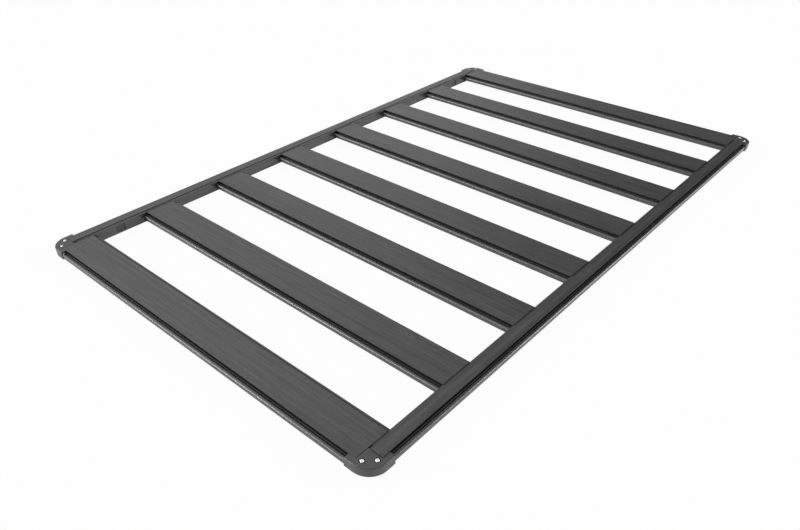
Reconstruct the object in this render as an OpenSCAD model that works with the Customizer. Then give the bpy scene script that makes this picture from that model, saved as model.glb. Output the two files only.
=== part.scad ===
// Flat platform roof rack: two long side rails, eight wide flat cross beams and four corner pieces.
// Millimetres. X runs across the rack along the beams, Y runs along the side rails, Z is up.
// The origin is under the middle of the rack, on the plane of the side rails' undersides.

/* [Overall size] */
// Length along the side rails, over the corner pieces
rack_l = 2125; // [1700:5:2415]
// Width across the cross beams, over the corner pieces
rack_w = 1285; // [1085:5:1485]
// Height from the undersides of the side rails to their tops
rack_h = 33; // [32:0.5:44]
// How far the tops of the beams and corner pieces lie below the tops of the side rails
rail_step = 2.5; // [1.5:0.25:3.5]

/* [Cross beams] */
// Width of a beam's flat top, from edge to edge
beam_top_w = 98; // [80:1:130]
// Distance of each inner web from the middle of a beam
web_out = 15; // [8:0.5:18]
// Width of the fine groove across the top of each beam's end, along the seam
seam_w = 1.2; // [0.6:0.1:2]
// Depth of the seam groove
seam_depth = 2; // [1:0.25:2.25]

/* [Side rails] */
// Width of a side rail's flat top
rail_top_w = 30; // [28:0.5:42]
// Width of the low shoulder along a side rail's inner edge
shoulder_w = 9; // [7:0.5:11]
// Width of the slot in a side rail's underside
foot_slot_w = 16; // [12:0.5:20]
// Inner height of the channel that the slot opens into
foot_channel_h = 9; // [7:0.5:10]
// How far a side rail's lower body stands out past its top outer edge
foot_out = 3; // [2:0.5:4]
// Width of the relief notch at each end of a side rail's shoulder
relief_w = 3; // [2:0.5:5]
// Length of the relief notch, from the rail's end
relief_l = 11; // [6:1:20]
// Depth of the relief notch
relief_d = 8; // [4:1:12]

/* [Extrusion section] */
// Depth of the beams and of the side rails' outer lips, from their tops
lip_depth = 21.5; // [20.5:0.25:22.5]
// How far the lower lip stands out past the top edge
lip_out = 14.5; // [13:0.5:17]
// Depth of the lip's own top below the flat top
lip_drop = 8; // [7:0.25:8.5]
// Radius of the lip's rounded upper nose
nose_r = 4.5; // [3:0.25:5]
// Radius of the lip's lower edge
lip_foot_r = 2; // [1:0.25:2.5]
// Thickness of the flat tops
plate_t = 3; // [2.5:0.25:3.5]
// Thickness left at the very edge of a flat top, where it is tapered from below
edge_t = 1.2; // [0.8:0.1:1.6]
// Thickness of the other walls
wall_t = 2.5; // [2:0.25:3]
// How far the side channel reaches in behind the top edge
groove_in = 8; // [6:0.5:10]
// Height of the side channel inside
groove_h = 7; // [6:0.25:7.5]
// Height of the ridge that narrows the channel's mouth from below
ridge_h = 2.5; // [1:0.25:3]
// Width of the drain groove between the channel and the lip
drain_w = 3.75; // [3:0.25:4.25]
// Depth of the drain groove below the channel's floor
drain_depth = 2; // [1:0.25:2.5]

/* [Corner pieces] */
// Outer radius of a corner piece, seen from above
corner_r = 50; // [42:1:52]
// Length of a corner piece along each side, from the outer corner
corner_reach = 74; // [66:1:90]
// Length of a corner piece's body along a side rail, from the outer face
corner_body_y = 52.5; // [52:0.5:56]
// How far a corner piece stands out past the lips
corner_proud = 1.2; // [0.5:0.1:2]
// Wall thickness of a corner piece
corner_t = 3.5; // [3:0.25:4]
// Distance of each corner screw from the outer face it is nearer to
screw_near = 19.5; // [17:0.5:20]
// Distance of each corner screw from the other outer face
screw_far = 41.5; // [39:0.5:42]
// Radius along the top outer edge of a corner piece
corner_edge_r = 3; // [2:0.25:3.5]
// Depth of a corner piece from its top to the bottom of its outer wall
corner_h = 24; // [20:0.5:27]
// Bore for each corner screw
screw_bore = 6.4; // [5.4:0.1:6.8]
// Diameter of the sunk seat round each corner screw
seat_d = 13.5; // [12:0.25:15]
// Depth of the sunk seat
seat_depth = 2; // [1:0.25:2.5]
// Length of the tenons that enter the rail and the beam
tenon_l = 25; // [15:1:35]

/* [Access plugs] */
// Length of the access window in a side rail's inner wall
window_l = 31.5; // [24:0.5:40]
// Height of the access window
window_h = 20; // [16:0.5:21]
// Height of the window's lower edge above the rail's underside
window_z = 6.5; // [5:0.5:7]
// Radius of the window's corners
window_r = 3; // [1:0.5:5]
// Distance from the middle of an end beam to the middle of its window
window_from_beam = 140; // [120:1:170]
// How far the plug sits back from the face of the wall
plug_back = 1.75; // [0.5:0.25:1.75]

/* [Welds] */
// Leg of the weld fillets between the beams and the side rails
weld_leg = 5; // [3:0.5:7]
// Thickness left at a fillet's thin edges
weld_edge = 0.3; // [0.2:0.05:0.5]

/* [Fit] */
// Clearance between pieces that slide or plug together
fit = 0.3; // [0.2:0.05:0.4]

/* [Hidden] */
beam_count = 8;
paint = "#2b2c2e";
plastic = "#222324";
nose_steps = 6;
quarter_sides = 96;
bore_sides = 48;
cut = 0.01;

// Levels, from the undersides of the side rails
beam_z = rack_h - rail_step;
corner_bottom = beam_z - corner_h;
foot_floor = wall_t + foot_channel_h;
rail_cell_floor = foot_floor + wall_t;

// Distances from the middle line of the rack, across it
rail_edge = rack_w / 2 - corner_proud - lip_out;
rail_body_w = rail_top_w + shoulder_w;
rail_face = rail_edge - rail_body_w;
beam_notch = rack_w / 2 - corner_reach - fit;

// Distances from the middle of the rack, along it
beam_edge = rack_l / 2 - corner_proud - lip_out;
end_beam_y = beam_edge - beam_top_w / 2;
beam_pitch = 2 * end_beam_y / (beam_count - 1);
rail_end = rack_l / 2 - corner_body_y - fit;
rail_notch = rack_l / 2 - corner_reach - fit;
window_y = end_beam_y - window_from_beam;

// The side channel, as depths below the flat top and distances out from its edge
floor_d = plate_t + groove_h;
drain_d = floor_d + drain_depth;
ridge_w = 2;
ridge_out = 1.25;
drain_out = ridge_out + ridge_w;
lip_in = drain_out + drain_w;

// The corner piece, from its two outer faces. Its body fills the room between them and the rack
corner_body_x = rack_w / 2 - rail_face - fit;
arm_w = corner_proud + lip_out - fit;
tenon_at = corner_proud + lip_out + groove_in + wall_t + fit;
rib_h = rail_step - edge_t - fit;
boss_wall = 3;

// Points on an arc about c, from angle a to angle b
function arc(c, r, a, b, steps) =
    [for (i = [0:steps]) c + r * [cos(a + (b - a) * i / steps), sin(a + (b - a) * i / steps)]];

// The channelled edge, from the top edge down round the lip. The top edge is at [0, 0] and out is +X
function channel_edge() = concat(
    [[0, 0], [0, -edge_t], [edge_t - plate_t, -plate_t], [-groove_in, -plate_t]],
    [[-groove_in, -floor_d], [ridge_out, -floor_d], [ridge_out, ridge_h - floor_d]],
    [[drain_out, ridge_h - floor_d], [drain_out, -drain_d], [lip_in, -drain_d], [lip_in, -lip_drop]],
    arc([lip_out - nose_r, -lip_drop - nose_r], nose_r, 90, 0, nose_steps),
    arc([lip_out - lip_foot_r, lip_foot_r - lip_depth], lip_foot_r, 0, -90, nose_steps));

function shifted(points, by) = [for (p = points) p + by];
function mirrored(points) = [for (i = [len(points) - 1:-1:0]) [-points[i].x, points[i].y]];

// A hollow in the section, given by its left, right, bottom and top
module cell(left, right, bottom, top) {
    translate([left, bottom])
        square([right - left, top - bottom]);
}

// The hollow under the channel and behind the lip
module lip_cell(edge) {
    cell(edge - groove_in, edge + lip_out - wall_t, wall_t - lip_depth, -drain_d - wall_t);
}

// Section of a cross beam, with its flat top at y = 0
module beam_section() {
    edge = beam_top_w / 2;
    side = shifted(channel_edge(), [edge, 0]);
    inner_wall = edge - groove_in - wall_t;
    difference() {
        polygon(concat(side, mirrored(side)));
        cell(-web_out, web_out, wall_t - lip_depth, -plate_t);
        for (m = [0, 1])
            mirror([m, 0]) {
                cell(web_out + wall_t, inner_wall, wall_t - lip_depth, -plate_t);
                lip_cell(edge);
            }
    }
}

// Section of a side rail, with the top outer edge at x = 0 and the underside at y = 0
module rail_section() {
    side = shifted(channel_edge(), [0, rack_h]);
    body = [[foot_out, rack_h - lip_depth], [foot_out, 0], [-rail_body_w, 0],
        [-rail_body_w, rack_h - rail_step], [-rail_top_w, rack_h - rail_step], [-rail_top_w, rack_h]];
    slot_mid = (foot_out - rail_body_w) / 2;
    difference() {
        polygon(concat(side, body));
        // The closed hollow under the flat top, lower beside the shoulder
        cell(wall_t - rail_body_w, -groove_in - wall_t, rail_cell_floor, beam_z - wall_t);
        cell(wall_t - rail_top_w, -groove_in - wall_t, rail_cell_floor, rack_h - plate_t);
        translate([0, rack_h])
            lip_cell(0);
        // The channel for the mounting feet, and its slot
        cell(wall_t - rail_body_w, foot_out - wall_t, wall_t, foot_floor);
        cell(slot_mid - foot_slot_w / 2, slot_mid + foot_slot_w / 2, -cut, wall_t + cut);
    }
}

// A beam about the given y, with a seam groove across its top at both ends
module beam_at(y) {
    difference() {
        translate([-rail_face, y, beam_z])
            rotate([90, 0, 90])
                linear_extrude(2 * rail_face)
                    beam_section();
        for (x = [-1, 1])
            at_side(x, 1)
                translate([rail_face - seam_w, y - beam_top_w, beam_z - seam_depth])
                    cube([rack_w, 2 * beam_top_w, rack_h]);
    }
}

// An end beam loses the ends of its outer lip to the corner pieces' arms
module end_beam(side) {
    color(paint)
        difference() {
            beam_at(side * end_beam_y);
            for (x = [-1, 1])
                at_side(x, side)
                    translate([beam_notch, beam_edge, 0])
                        cube([rack_w, rack_l, rack_h]);
        }
}

module cross_beam(i) {
    color(paint)
        beam_at((i - (beam_count + 1) / 2) * beam_pitch);
}

// Outline of the access window, or of its plug where the outline is drawn in by the clearance
module window_outline(inset) {
    r = window_r - inset;
    across = window_l / 2 - window_r;
    up = window_h / 2 - window_r;
    polygon(concat(arc([across, up], r, 0, 90, nose_steps), arc([-across, up], r, 90, 180, nose_steps),
        arc([-across, -up], r, 180, 270, nose_steps), arc([across, -up], r, 270, 360, nose_steps)));
}

// Something of the window's outline, from one depth behind the wall's face to another
module in_window(from, to, inset) {
    translate([rail_face + from, window_y, window_z + window_h / 2])
        rotate([90, 0, 90])
            linear_extrude(to - from)
                window_outline(inset);
}

// The right side rail. The left one is its mirror image
module side_rail() {
    color(paint)
        difference() {
            translate([rail_edge, 0, 0])
                rotate([90, 0, 0])
                    linear_extrude(2 * rail_end, center = true)
                        rail_section();
            for (y = [-1, 1])
                at_side(1, y) {
                    translate([rail_edge, rail_notch, rack_h - lip_depth - cut])
                        cube([rack_w, rack_l, rack_h]);
                    translate([rail_face - cut, rail_end - relief_l, beam_z - relief_d])
                        cube([relief_w + cut, relief_l + cut, rack_h]);
                    in_window(-cut, wall_t + cut, 0);
                }
        }
}

// A closed plug in the window, set back from the wall's face
module access_plug() {
    color(plastic)
        in_window(plug_back, wall_t, fit);
}

// Section through a corner piece's wall and top: x is the distance in from the outer face
module corner_wall_section(width) {
    top = arc([corner_edge_r, beam_z - corner_edge_r], corner_edge_r, 180, 90, nose_steps);
    polygon(concat([[0, corner_bottom]], top, [[width, beam_z], [width, beam_z - corner_t],
        [corner_t, beam_z - corner_t], [corner_t, corner_bottom]]));
}

// The rounded quarter of a corner piece, about its centre
module corner_quarter() {
    rotate_extrude(angle = 90, $fn = quarter_sides)
        translate([corner_r, 0])
            mirror([1, 0])
                corner_wall_section(corner_r);
}

// The straight part of one arm. Local x is the distance in from the outer face, y from the corner
module corner_arm(edge_z, body) {
    tongue_top = edge_z - plate_t - fit;
    tongue_bottom = edge_z - floor_d + fit;
    translate([0, corner_reach, 0])
        rotate([90, 0, 0])
            linear_extrude(corner_reach - corner_r)
                corner_wall_section(arm_w);
    // The inner web, and the tongue that lies in the side channel
    translate([arm_w - corner_t, body - corner_t, tongue_bottom])
        cube([corner_t, corner_reach - body + corner_t, beam_z - tongue_bottom - cut]);
    translate([arm_w - cut, body + fit, tongue_bottom])
        cube([groove_in + cut, corner_reach - body - fit, tongue_top - tongue_bottom]);
    // The rib that closes the gap under a side rail's thin top edge, where the step leaves one
    if (edge_z > beam_z && rib_h > 0)
        translate([arm_w - edge_t, body + fit, beam_z - cut])
            cube([edge_t, corner_reach - body - fit, rib_h + cut]);
}

// The flat top past the rounded quarter, out to the end of the body
module corner_top(body_w, body) {
    translate([arm_w - cut, corner_r - cut, beam_z - corner_t])
        cube([body_w - arm_w + cut, body - corner_r + cut, corner_t]);
}

// One half of a corner piece: its arm, the web that closes the end of the rail or the beam, and the
// tenon that enters it. The body is as long as given along the arm, and as wide across it
module corner_half(edge_z, body, body_w, tenon_w, tenon_bottom, tenon_top) {
    corner_arm(edge_z, body);
    translate([corner_t - cut, body - corner_t, foot_floor])
        cube([body_w - corner_t + cut, corner_t, beam_z - foot_floor - cut]);
    translate([tenon_at, body - cut, tenon_bottom])
        cube([tenon_w, tenon_l + cut, tenon_top - tenon_bottom]);
}

// The rear right corner piece, placed by its outer corner
module corner_piece() {
    rail_tenon_w = rail_top_w - groove_in - 2 * wall_t - 2 * fit;
    beam_tenon_w = beam_top_w / 2 - groove_in - web_out - 2 * wall_t - 2 * fit;
    screws = [[screw_near, screw_far], [screw_far, screw_near]];
    color(paint)
        difference() {
            union() {
                translate([corner_r, corner_r, 0])
                    mirror([1, 0, 0])
                        mirror([0, 1, 0])
                            corner_quarter();
                corner_top(corner_body_x, corner_body_y);
                mirror([1, -1, 0])
                    corner_top(corner_body_y, corner_body_x);
                corner_half(rack_h, corner_body_y, corner_body_x, rail_tenon_w,
                    rail_cell_floor + fit, beam_z - wall_t - fit);
                mirror([1, -1, 0])
                    corner_half(beam_z, corner_body_x, corner_body_y, beam_tenon_w,
                        beam_z - lip_depth + wall_t + fit, beam_z - plate_t - fit);
                for (p = screws)
                    translate([p.x, p.y, foot_floor])
                        cylinder(d = screw_bore + 2 * boss_wall, h = beam_z - foot_floor - cut, $fn = bore_sides);
            }
            for (p = screws)
                translate([p.x, p.y, 0]) {
                    cylinder(d = screw_bore, h = rack_h, $fn = bore_sides);
                    translate([0, 0, beam_z - seat_depth])
                        cylinder(d = seat_d, h = rack_h, $fn = bore_sides);
                }
        }
}

// Turns a piece modelled at the outer corner into the rack's frame. Signs pick the corner
module at_corner(x, y) {
    mirror([x < 0 ? 1 : 0, 0, 0])
        mirror([0, y < 0 ? 1 : 0, 0])
            translate([rack_w / 2, rack_l / 2, 0])
                mirror([1, 0, 0])
                    mirror([0, 1, 0])
                        children();
}

// Turns a piece modelled on the right, at the rear, to the side and the end that the signs pick
module at_side(x, y) {
    mirror([x < 0 ? 1 : 0, 0, 0])
        mirror([0, y < 0 ? 1 : 0, 0])
            children();
}

// Plan outline of a weld fillet with its root at [0, 0] and its legs along +X and +Y
module fillet_outline() {
    toe = weld_leg + weld_edge;
    polygon(concat([[0, 0], [toe, 0]], arc([toe, toe], weld_leg, 270, 180, nose_steps), [[0, toe]]));
}

// The fillet in the corner between the flat face of a beam's lip and the side rail
module lip_fillet(side) {
    mirror([0, side > 0 ? 0 : 1, 0])
        translate([rail_face, beam_top_w / 2 + lip_out, beam_z - lip_depth + lip_foot_r])
            rotate([0, 0, 90])
                linear_extrude(lip_depth - lip_drop - nose_r - lip_foot_r)
                    fillet_outline();
}

// The fillet under a beam's end, from one place across the beam to another
module under_fillet(from, to) {
    translate([rail_face, to, beam_z - lip_depth])
        rotate([90, 90, 0])
            mirror([0, 1, 0])
                linear_extrude(to - from)
                    fillet_outline();
}

// An end beam has no fillet on its outer lip, and its lower one stops where the rail does
module weld_fillets() {
    half = beam_top_w / 2 + lip_out - lip_foot_r;
    end_half = rail_end - end_beam_y - fit;
    color(paint)
        for (i = [1:beam_count])
            translate([0, (i - (beam_count + 1) / 2) * beam_pitch, 0]) {
                if (i > 1)
                    lip_fillet(-1);
                if (i < beam_count)
                    lip_fillet(1);
                under_fillet(i > 1 ? -half : -end_half, i < beam_count ? half : end_half);
            }
}

mirror([1, 0, 0]) side_rail();  // side_rail_left
side_rail();  // side_rail_right
end_beam(-1);  // front_beam
cross_beam(2);  // cross_beam_2
cross_beam(3);  // cross_beam_3
cross_beam(4);  // cross_beam_4
cross_beam(5);  // cross_beam_5
cross_beam(6);  // cross_beam_6
cross_beam(7);  // cross_beam_7
end_beam(1);  // rear_beam
at_corner(-1, -1) corner_piece();  // corner_front_left
at_corner(1, -1) corner_piece();  // corner_front_right
at_corner(-1, 1) corner_piece();  // corner_rear_left
at_corner(1, 1) corner_piece();  // corner_rear_right
at_side(-1, -1) access_plug();  // access_plug_front_left
at_side(1, -1) access_plug();  // access_plug_front_right
at_side(-1, 1) access_plug();  // access_plug_rear_left
at_side(1, 1) access_plug();  // access_plug_rear_right
mirror([1, 0, 0]) weld_fillets();  // weld_fillets_left
weld_fillets();  // weld_fillets_right
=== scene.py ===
# Flat platform roof rack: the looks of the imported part, with its camera, light and floor.
# Metres. X runs across the rack along the beams, Y runs along the side rails, Z is up.
import math
import bmesh
import bpy
from mathutils import Matrix, Vector


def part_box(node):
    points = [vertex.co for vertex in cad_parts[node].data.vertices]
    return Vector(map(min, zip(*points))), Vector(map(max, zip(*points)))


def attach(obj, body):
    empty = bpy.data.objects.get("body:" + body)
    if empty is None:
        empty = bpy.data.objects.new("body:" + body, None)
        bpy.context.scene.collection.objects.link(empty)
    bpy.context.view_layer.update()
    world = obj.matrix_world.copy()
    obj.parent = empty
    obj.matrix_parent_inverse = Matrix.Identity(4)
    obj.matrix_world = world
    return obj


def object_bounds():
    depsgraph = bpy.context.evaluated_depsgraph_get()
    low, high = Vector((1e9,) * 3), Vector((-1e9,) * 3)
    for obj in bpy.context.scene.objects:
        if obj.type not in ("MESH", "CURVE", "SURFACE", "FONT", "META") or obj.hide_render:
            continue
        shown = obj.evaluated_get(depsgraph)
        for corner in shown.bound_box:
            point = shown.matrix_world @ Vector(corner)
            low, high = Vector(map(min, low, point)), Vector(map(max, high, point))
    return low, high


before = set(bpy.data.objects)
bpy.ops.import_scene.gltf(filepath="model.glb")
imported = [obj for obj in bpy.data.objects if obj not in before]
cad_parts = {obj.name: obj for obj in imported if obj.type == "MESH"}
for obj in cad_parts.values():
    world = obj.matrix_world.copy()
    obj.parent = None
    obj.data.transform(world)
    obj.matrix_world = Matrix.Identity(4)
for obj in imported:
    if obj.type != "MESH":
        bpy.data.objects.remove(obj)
cad_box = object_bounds()
MM = 0.001

# The camera, as the photograph was taken
IMAGE_W, IMAGE_H = 800, 530
FOCAL_PX = 669.746
CENTRE_PX = (363.21, 330.70)
EYE_MM = (1199.7, -1671.4, 1070.6)
AZIMUTH, ELEVATION, ROLL = 43.2044, 39.1748, -0.8201


def make_camera():
    data = bpy.data.cameras.new("camera")
    data.sensor_width = 36.0
    data.lens = FOCAL_PX * data.sensor_width / IMAGE_W
    data.shift_x = (IMAGE_W / 2 - CENTRE_PX[0]) / IMAGE_W
    data.shift_y = (CENTRE_PX[1] - IMAGE_H / 2) / IMAGE_W
    data.clip_start, data.clip_end = 0.05, 60.0
    cam = bpy.data.objects.new("camera", data)
    bpy.context.scene.collection.objects.link(cam)
    az, el = math.radians(AZIMUTH), math.radians(ELEVATION)
    back = Vector((math.sin(az) * math.cos(el), -math.cos(az) * math.cos(el), math.sin(el)))
    right = Vector((0, 0, 1)).cross(back).normalized()
    up = back.cross(right)
    turn = Matrix.Rotation(math.radians(ROLL), 3, back)
    right, up = turn @ right, turn @ up
    m = Matrix((right, up, back)).transposed().to_4x4()
    m.translation = Vector(EYE_MM) * MM
    cam.matrix_world = m
    bpy.context.scene.camera = cam


make_camera()


# Node helpers
class Graph:
    def __init__(self, material):
        self.nodes = material.node_tree.nodes
        self.links = material.node_tree.links

    def add(self, kind, inputs=None, **props):
        n = self.nodes.new(kind)
        for k, v in props.items():
            setattr(n, k, v)
        for k, v in (inputs or {}).items():
            self.feed(n, k, v)
        return n

    def feed(self, node, key, value):
        socket = node.inputs[key]
        if isinstance(value, bpy.types.NodeSocket):
            self.links.new(value, socket)
        else:
            socket.default_value = value

    def math(self, op, a, b=0.0):
        return self.add("ShaderNodeMath", {0: a, 1: b}, operation=op).outputs[0]

    def noise(self, where, scale, detail=3.0, rough=0.5):
        inputs = {"Vector": where, "Scale": scale, "Detail": detail, "Roughness": rough}
        return self.add("ShaderNodeTexNoise", inputs).outputs["Fac"]

    def stretched(self, where, scale):
        return self.add("ShaderNodeMapping", {"Vector": where, "Scale": scale}).outputs["Vector"]

    def ramp(self, fac, low, high, a, b):
        inputs = {"Value": fac, "From Min": low, "From Max": high, "To Min": a, "To Max": b}
        return self.add("ShaderNodeMapRange", inputs).outputs["Result"]

    def shaded(self, colour, shade):
        inputs = {0: colour, "Scale": shade}
        return self.add("ShaderNodeVectorMath", inputs, operation="SCALE").outputs[0]


def new_material(name):
    m = bpy.data.materials.new(name)
    m.use_nodes = True
    m.node_tree.nodes.clear()
    return m


# Lines that the die leaves: stretch along the extrusion, lines a metre, change of shade, relief
DIE_LINES = ((0.006, 130.0, 0.24, 6.0), (0.04, 260.0, 0.28, 3.0))
# Relief of the orange peel on an extrusion and on a casting or weld, of a weld's ripple, and of all
GRAIN_EXTRUDED, GRAIN_CAST, RIPPLE_RELIEF, BUMP_STRENGTH = 0.15, 0.5, 9.0, 0.35
# How far a wall darkens what it faces, and the coat's shade deep in a cavity: painted shade in cavities and
# recesses
CAVITY_REACH, CAVITY_PAINTED_SHADE = 12.0, 0.02

# Shade painted on a side rail's shoulder, in the joint beside each cross beam
SEAM_X, SEAM_HALF, SEAM_SOFT, SEAM_PAINTED_SHADE = 590.2, 1.2, 1.6, 0.12
BEAM_COUNT, BEAM_TOP_HALF, LIP_OUT = 8, 49.0, 14.5


def painted_seam_shade_mask(g, pos):
    """1 where shade is painted into the joints between beams and rails, 0 elsewhere."""
    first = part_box("front_beam")
    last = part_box("rear_beam")
    first_y = first[0].y + LIP_OUT * MM
    span = last[1].y - LIP_OUT * MM - first_y
    pitch = (span - 2 * BEAM_TOP_HALF * MM) / (BEAM_COUNT - 1)
    xyz = g.add("ShaderNodeSeparateXYZ", {0: pos})
    off = g.math("ABSOLUTE", g.math("SUBTRACT", g.math("ABSOLUTE", xyz.outputs["X"]), SEAM_X * MM))
    across = g.ramp(off, SEAM_HALF * MM, (SEAM_HALF + SEAM_SOFT) * MM, 1.0, 0.0)
    turn = g.math("FRACT", g.math("DIVIDE", g.math("SUBTRACT", xyz.outputs["Y"], first_y), pitch))
    along = g.math("LESS_THAN", turn, 2 * BEAM_TOP_HALF * MM / pitch)
    return g.math("MULTIPLY", across, along)


def coat(name, colour, rough, specular, grain_mm, grain_depth, streak_axis=None, ripple=None, painted_seam_shade=False):
    """Satin powder coat: a fine orange peel, slight cloudiness, and faint die lines along an extrusion, with
    painted shade in cavities and, when asked for, in the joints beside the beams.
    """
    m = new_material(name)
    g = Graph(m)
    pos = g.add("ShaderNodeTexCoord").outputs["Object"]
    cloud = g.noise(pos, 7.0, 3.0)
    speck = g.noise(pos, 1.0 / (grain_mm * MM * 3.0), 2.0)
    shade = g.ramp(cloud, 0.3, 0.7, 0.95, 1.05)
    shade = g.math("MULTIPLY", shade, g.ramp(speck, 0.3, 0.7, 0.82, 1.18))
    grain = GRAIN_CAST if streak_axis is None else GRAIN_EXTRUDED
    height = g.math("MULTIPLY", g.noise(pos, 1.0 / (grain_mm * MM), 2.0, 0.6), grain)
    if streak_axis is not None:
        for along, scale, strength, relief in DIE_LINES:
            stretch = [1.0, 1.0, 1.0]
            stretch[streak_axis] = along
            lines = g.noise(g.stretched(pos, tuple(stretch)), scale, 2.0)
            shade = g.math("MULTIPLY", shade, g.ramp(lines, 0.3, 0.7, 1.0 - strength, 1.0 + strength))
            height = g.math("ADD", height, g.math("MULTIPLY", lines, relief))
    if ripple is not None:
        waves = g.math("MULTIPLY", g.noise(pos, 1.0 / (ripple * MM), 1.0), RIPPLE_RELIEF)
        height = g.math("ADD", height, waves)
    # Painted shade in the joints between the rails and the beams
    if painted_seam_shade:
        shade = g.math("MULTIPLY", shade, g.ramp(painted_seam_shade_mask(g, pos), 0.0, 1.0, 1.0, SEAM_PAINTED_SHADE))
    # Painted shade: the coat's colour darkens in cavities and recesses, as far as the occlusion reaches; the
    # roughness rises there too
    reach = {"Distance": CAVITY_REACH * MM}
    open_sky = g.add("ShaderNodeAmbientOcclusion", reach, samples=8).outputs["AO"]
    shade = g.math("MULTIPLY", shade, g.ramp(open_sky, 0.2, 0.75, CAVITY_PAINTED_SHADE, 1.0))
    relief = {"Height": height, "Strength": BUMP_STRENGTH, "Distance": grain_depth * MM}
    bump = g.add("ShaderNodeBump", relief)
    rough_out = g.ramp(g.noise(pos, 1.0 / (grain_mm * MM * 2.0), 2.0), 0.3, 0.7, rough - 0.04, rough + 0.04)
    rough_out = g.math("MAXIMUM", rough_out, g.ramp(open_sky, 0.25, 0.7, 1.0, rough))
    shader = g.add("ShaderNodeBsdfPrincipled", {"Base Color": g.shaded(colour, shade), "Roughness": rough_out,
                                               "Normal": bump.outputs[0], "Specular IOR Level": specular})
    g.add("ShaderNodeOutputMaterial", {"Surface": shader.outputs[0]})
    return m


def plastic(name, colour, rough, specular=0.5):
    m = new_material(name)
    g = Graph(m)
    pos = g.add("ShaderNodeTexCoord").outputs["Object"]
    shade = g.ramp(g.noise(pos, 60.0, 3.0), 0.3, 0.7, 0.9, 1.1)
    relief = {"Height": g.noise(pos, 1600.0, 2.0), "Strength": 0.3, "Distance": 0.1 * MM}
    bump = g.add("ShaderNodeBump", relief)
    shader = g.add("ShaderNodeBsdfPrincipled", {"Base Color": g.shaded(colour, shade), "Roughness": rough,
                                               "Normal": bump.outputs[0], "Specular IOR Level": specular})
    g.add("ShaderNodeOutputMaterial", {"Surface": shader.outputs[0]})
    return m


STEEL = (0.93, 0.925, 0.92)


def steel(name):
    """Bright stainless steel, slightly cloudy and finely pitted."""
    m = new_material(name)
    g = Graph(m)
    pos = g.add("ShaderNodeTexCoord").outputs["Object"]
    patch = g.noise(pos, 500.0, 3.0)
    shade = g.ramp(patch, 0.3, 0.7, 0.92, 1.04)
    relief = {"Height": g.noise(pos, 2600.0, 2.0), "Strength": 0.15, "Distance": 0.05 * MM}
    bump = g.add("ShaderNodeBump", relief)
    rough_out = g.ramp(patch, 0.3, 0.7, 0.56, 0.66)
    shader = g.add("ShaderNodeBsdfPrincipled", {"Base Color": g.shaded(STEEL, shade), "Metallic": 1.0,
                                               "Roughness": rough_out, "Normal": bump.outputs[0]})
    g.add("ShaderNodeOutputMaterial", {"Surface": shader.outputs[0]})
    return m


PAINT = (0.047, 0.0473, 0.048)
beam_coat = coat("powder_coat_beams", PAINT, 0.32, 0.75, 0.9, 0.12, streak_axis=0)
rail_coat = coat("powder_coat_rails", PAINT, 0.32, 0.75, 0.9, 0.12, streak_axis=1, painted_seam_shade=True)
corner_coat = coat("powder_coat_corners", PAINT, 0.38, 0.75, 0.8, 0.16)
weld_coat = coat("powder_coat_welds", (0.042, 0.042, 0.043), 0.40, 0.60, 0.9, 0.14, ripple=3.0)
plug_plastic = plastic("plug_plastic", (0.042, 0.042, 0.043), 0.42)
# Near-black for the ring of painted shade in each screw's seat
seat_shade_black = plastic("seat_shade_black", (0.006, 0.006, 0.006), 0.7, 0.15)
screw_steel = steel("screw_steel")


def material_for(node):
    if node.startswith("side_rail"):
        return rail_coat
    if node.startswith("corner"):
        return corner_coat
    if node.startswith("weld"):
        return weld_coat
    if node.startswith("access"):
        return plug_plastic
    return beam_coat


for node_name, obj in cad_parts.items():
    obj.data.materials.clear()
    obj.data.materials.append(material_for(node_name))


# Corner screws: stainless button heads with a hexagon socket, each in the sunk seat of its bore
HEAD_R, HEAD_H = 4.7, 1.9
SOCKET_R, SOCKET_DEPTH, SOCKET_TIP, SOCKET_RIM = 1.8, 1.3, 0.45, 0.75
# The head's foot and the heights where its side and its dome begin and end
FOOT_SHARE, SIDE_FOOT, SIDE_TOP, DOME_FOOT = 0.985, 0.12, 0.75, 0.9
DOME_ANGLE, DOME_STEPS, SHARP_ANGLE = 40, 9, 35
# The ring of painted shade round each head's foot: its outer radius and thickness
SHADE_RING_R, SHADE_RING_T = 6.4, 0.5
SHANK_R, SHANK_L = 3.0, 14.0
SEGMENTS = 48
SCREW_NEAR, SCREW_FAR = 19.5, 41.5
SEAT_DEPTH = 2.0


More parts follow.
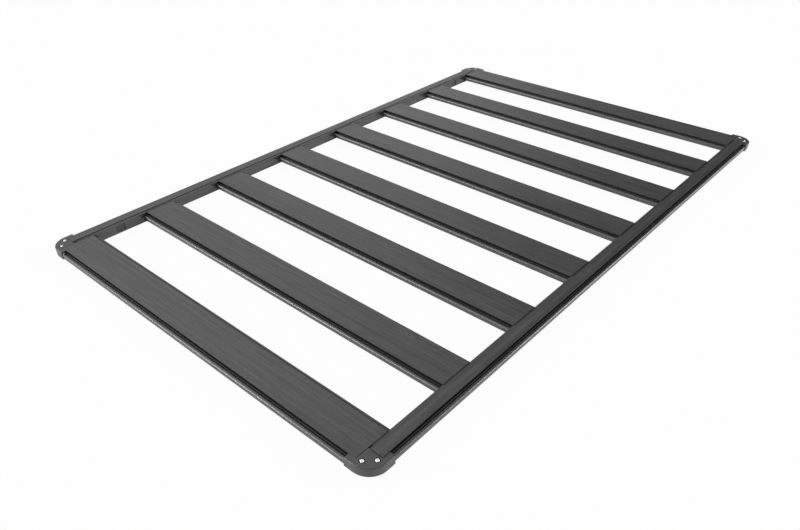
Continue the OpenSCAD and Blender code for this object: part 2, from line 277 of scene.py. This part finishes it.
def screw_mesh(name, turn):
    """A lathed head whose top turns into a hexagon recess, over a plain shank. Its seat is at z = 0."""
    bm = bmesh.new()
    rings = []

    def ring(radius, z, hexagon=0.0):
        verts = []
        for i in range(SEGMENTS):
            a = 2 * math.pi * i / SEGMENTS
            r = radius
            if hexagon:
                part = (a + turn) % (math.pi / 3) - math.pi / 6
                r = radius * (1 - hexagon + hexagon * math.cos(math.pi / 6) / math.cos(part) * 1.08)
            verts.append(bm.verts.new((r * math.cos(a) * MM, r * math.sin(a) * MM, z * MM)))
        rings.append(verts)

    ring(SHANK_R, -SHANK_L)
    ring(SHANK_R, 0.0)
    ring(HEAD_R * FOOT_SHARE, 0.0)
    ring(HEAD_R, SIDE_FOOT)
    ring(HEAD_R, SIDE_TOP)
    for i in range(1, DOME_STEPS + 1):
        a = math.radians(90 - DOME_ANGLE * i / DOME_STEPS)
        r = HEAD_R - (HEAD_R - SOCKET_R - SOCKET_RIM) * i / DOME_STEPS
        z = DOME_FOOT + (HEAD_H - DOME_FOOT) * math.cos(a) / math.sin(math.radians(DOME_ANGLE))
        ring(r, z)
    ring(SOCKET_R + 0.32, HEAD_H, 0.5)
    ring(SOCKET_R + 0.10, HEAD_H - 0.08, 1.0)
    ring(SOCKET_R, HEAD_H - 0.30, 1.0)
    ring(SOCKET_R, HEAD_H - SOCKET_DEPTH, 1.0)
    for a, b in zip(rings, rings[1:]):
        for i in range(SEGMENTS):
            j = (i + 1) % SEGMENTS
            bm.faces.new((a[i], a[j], b[j], b[i]))
    bm.faces.new(list(reversed(rings[0])))
    tip = bm.verts.new((0, 0, (HEAD_H - SOCKET_DEPTH - SOCKET_TIP) * MM))
    last = rings[-1]
    for i in range(SEGMENTS):
        bm.faces.new((last[i], last[(i + 1) % SEGMENTS], tip))
    bmesh.ops.recalc_face_normals(bm, faces=bm.faces)
    mesh = bpy.data.meshes.new(name)
    bm.to_mesh(mesh)
    bm.free()
    for p in mesh.polygons:
        p.use_smooth = True
    mesh.set_sharp_from_angle(angle=math.radians(SHARP_ANGLE))
    return mesh


def shade_ring_mesh():
    """A flat black ring round the foot of the head, a little below the rim of the seat: painted shade in the
    seat.
    """
    bm = bmesh.new()
    inner, outer, edge = HEAD_R + 0.02, SHADE_RING_R, 0.12
    outline = ((inner, 0), (outer, 0), (outer, SHADE_RING_T - edge), (outer - edge, SHADE_RING_T), (inner, SHADE_RING_T))
    rings = []
    for r, z in outline:
        turns = [2 * math.pi * i / SEGMENTS for i in range(SEGMENTS)]
        rings.append([bm.verts.new((r * math.cos(a) * MM, r * math.sin(a) * MM, z * MM)) for a in turns])
    for a, b in zip(rings, rings[1:] + rings[:1]):
        for i in range(SEGMENTS):
            j = (i + 1) % SEGMENTS
            bm.faces.new((a[i], a[j], b[j], b[i]))
    bmesh.ops.recalc_face_normals(bm, faces=bm.faces)
    mesh = bpy.data.meshes.new("corner_shade_ring")
    bm.to_mesh(mesh)
    bm.free()
    mesh.materials.append(seat_shade_black)
    return mesh


def add_screws():
    hi = cad_box[1]
    for end, sy in (("front", -1), ("rear", 1)):
        for side, sx in (("left", -1), ("right", 1)):
            seat_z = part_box(f"corner_{end}_{side}")[1].z - SEAT_DEPTH * MM
            for k, (dx, dy) in enumerate(((SCREW_NEAR, SCREW_FAR), (SCREW_FAR, SCREW_NEAR))):
                turn = 0.4 + 1.7 * k + 0.9 * sx + 2.1 * sy
                mesh = screw_mesh(f"corner_screw_{end}_{side}_{k + 1}", turn)
                mesh.materials.append(screw_steel)
                obj = bpy.data.objects.new(mesh.name, mesh)
                obj.location = (sx * (hi.x - dx * MM), sy * (hi.y - dy * MM), seat_z)
                bpy.context.scene.collection.objects.link(obj)
                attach(obj, "root")
                # A black ring of painted shade in the seat round the head
                shade_ring = bpy.data.objects.new(f"corner_washer_{end}_{side}_{k + 1}", shade_ring_mesh())
                shade_ring.location = obj.location
                bpy.context.scene.collection.objects.link(shade_ring)
                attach(shade_ring, "root")


add_screws()


# Floor and world
FLOOR_HALF, FLOOR_DROP = 9.0, 0.0002
# The share of plain white in the floor, as the camera and as gloss see it. The rest keeps the shadow
FLOOR_WHITE, FLOOR_MIRRORED = 0.96, 0.85


def make_floor():
    bm = bmesh.new()
    corners = [bm.verts.new((x, y, 0.0)) for x, y in ((-1, -1), (1, -1), (1, 1), (-1, 1))]
    for v in corners:
        v.co.x *= FLOOR_HALF
        v.co.y *= FLOOR_HALF
    bm.faces.new(corners)
    mesh = bpy.data.meshes.new("floor")
    bm.to_mesh(mesh)
    bm.free()
    floor = bpy.data.objects.new("floor", mesh)
    floor.location.z = -FLOOR_DROP
    bpy.context.scene.collection.objects.link(floor)
    m = new_material("floor_white")
    g = Graph(m)
    path = g.add("ShaderNodeLightPath")
    pos = g.add("ShaderNodeTexCoord").outputs["Object"]
    mirrored = g.math("MAXIMUM", path.outputs["Is Glossy Ray"], path.outputs["Is Transmission Ray"])
    white = g.math("MAXIMUM", g.math("MULTIPLY", path.outputs["Is Camera Ray"], FLOOR_WHITE),
                   g.math("MULTIPLY", mirrored, FLOOR_MIRRORED))
    shade = g.ramp(g.noise(pos, 3.0, 2.0), 0.3, 0.7, 0.645, 0.655)
    paint = g.add("ShaderNodeCombineXYZ", {0: shade, 1: shade, 2: shade}).outputs[0]
    diffuse = g.add("ShaderNodeBsdfDiffuse", {"Color": paint})
    glow = g.add("ShaderNodeEmission", {"Color": (1, 1, 1, 1), "Strength": 1.0})
    out = g.add("ShaderNodeMixShader", {0: white, 1: diffuse.outputs[0], 2: glow.outputs[0]})
    g.add("ShaderNodeOutputMaterial", {"Surface": out.outputs[0]})
    mesh.materials.append(m)


# Each soft light: its turn round the rack from the camera's side, clockwise from above, its height
# over the horizon, how sharply it falls off, and its strength
SOFT_LIGHTS = {
    "overhead, from the left": (112, 58, 5, 2.0),
    "left softbox": (84, 20, 95, 32.0),
    "left, low": (104, 24, 30, 1.5),
    "right softbox": (264, 19, 60, 22.0),
    "front, from the right": (315, 22, 8, 0.9),
    "behind": (172, 26, 20, 0.45),
    "back, low": (186, 12, 60, 0.8),
}
BACKDROP_TOP = 0.16


def light_direction(turn, height):
    a, e = math.radians(AZIMUTH - turn), math.radians(height)
    return math.sin(a) * math.cos(e), -math.cos(a) * math.cos(e), math.sin(e)


def make_world():
    """A soft studio: broad lights round the rack, and a low white backdrop that gloss shows too."""
    world = bpy.data.worlds.new("studio")
    bpy.context.scene.world = world
    world.use_nodes = True
    world.node_tree.nodes.clear()
    g = Graph(world)
    sky = g.add("ShaderNodeTexCoord").outputs["Generated"]
    total = 0.0
    for turn, height, falloff, strength in SOFT_LIGHTS.values():
        toward = light_direction(turn, height)
        facing = g.add("ShaderNodeVectorMath", {0: sky, 1: toward}, operation="DOT_PRODUCT").outputs["Value"]
        patch = g.math("POWER", g.math("MAXIMUM", facing, 0.0), falloff)
        total = g.math("ADD", g.math("MULTIPLY", patch, strength), total)
    path = g.add("ShaderNodeLightPath")
    up = g.add("ShaderNodeSeparateXYZ", {0: sky}).outputs["Z"]
    low = g.ramp(up, BACKDROP_TOP / 2, BACKDROP_TOP, 1.0, 0.0)
    mirrored = g.math("MAXIMUM", path.outputs["Is Glossy Ray"], path.outputs["Is Transmission Ray"])
    backdrop = g.math("MAXIMUM", path.outputs["Is Camera Ray"], g.math("MULTIPLY", mirrored, low))
    strength = g.math("MAXIMUM", total, backdrop)
    back = g.add("ShaderNodeBackground", {"Color": (1, 1, 1, 1), "Strength": strength})
    g.add("ShaderNodeOutputWorld", {"Surface": back.outputs[0]})


make_floor()
make_world()

bpy.context.scene.view_settings.view_transform = "Standard"
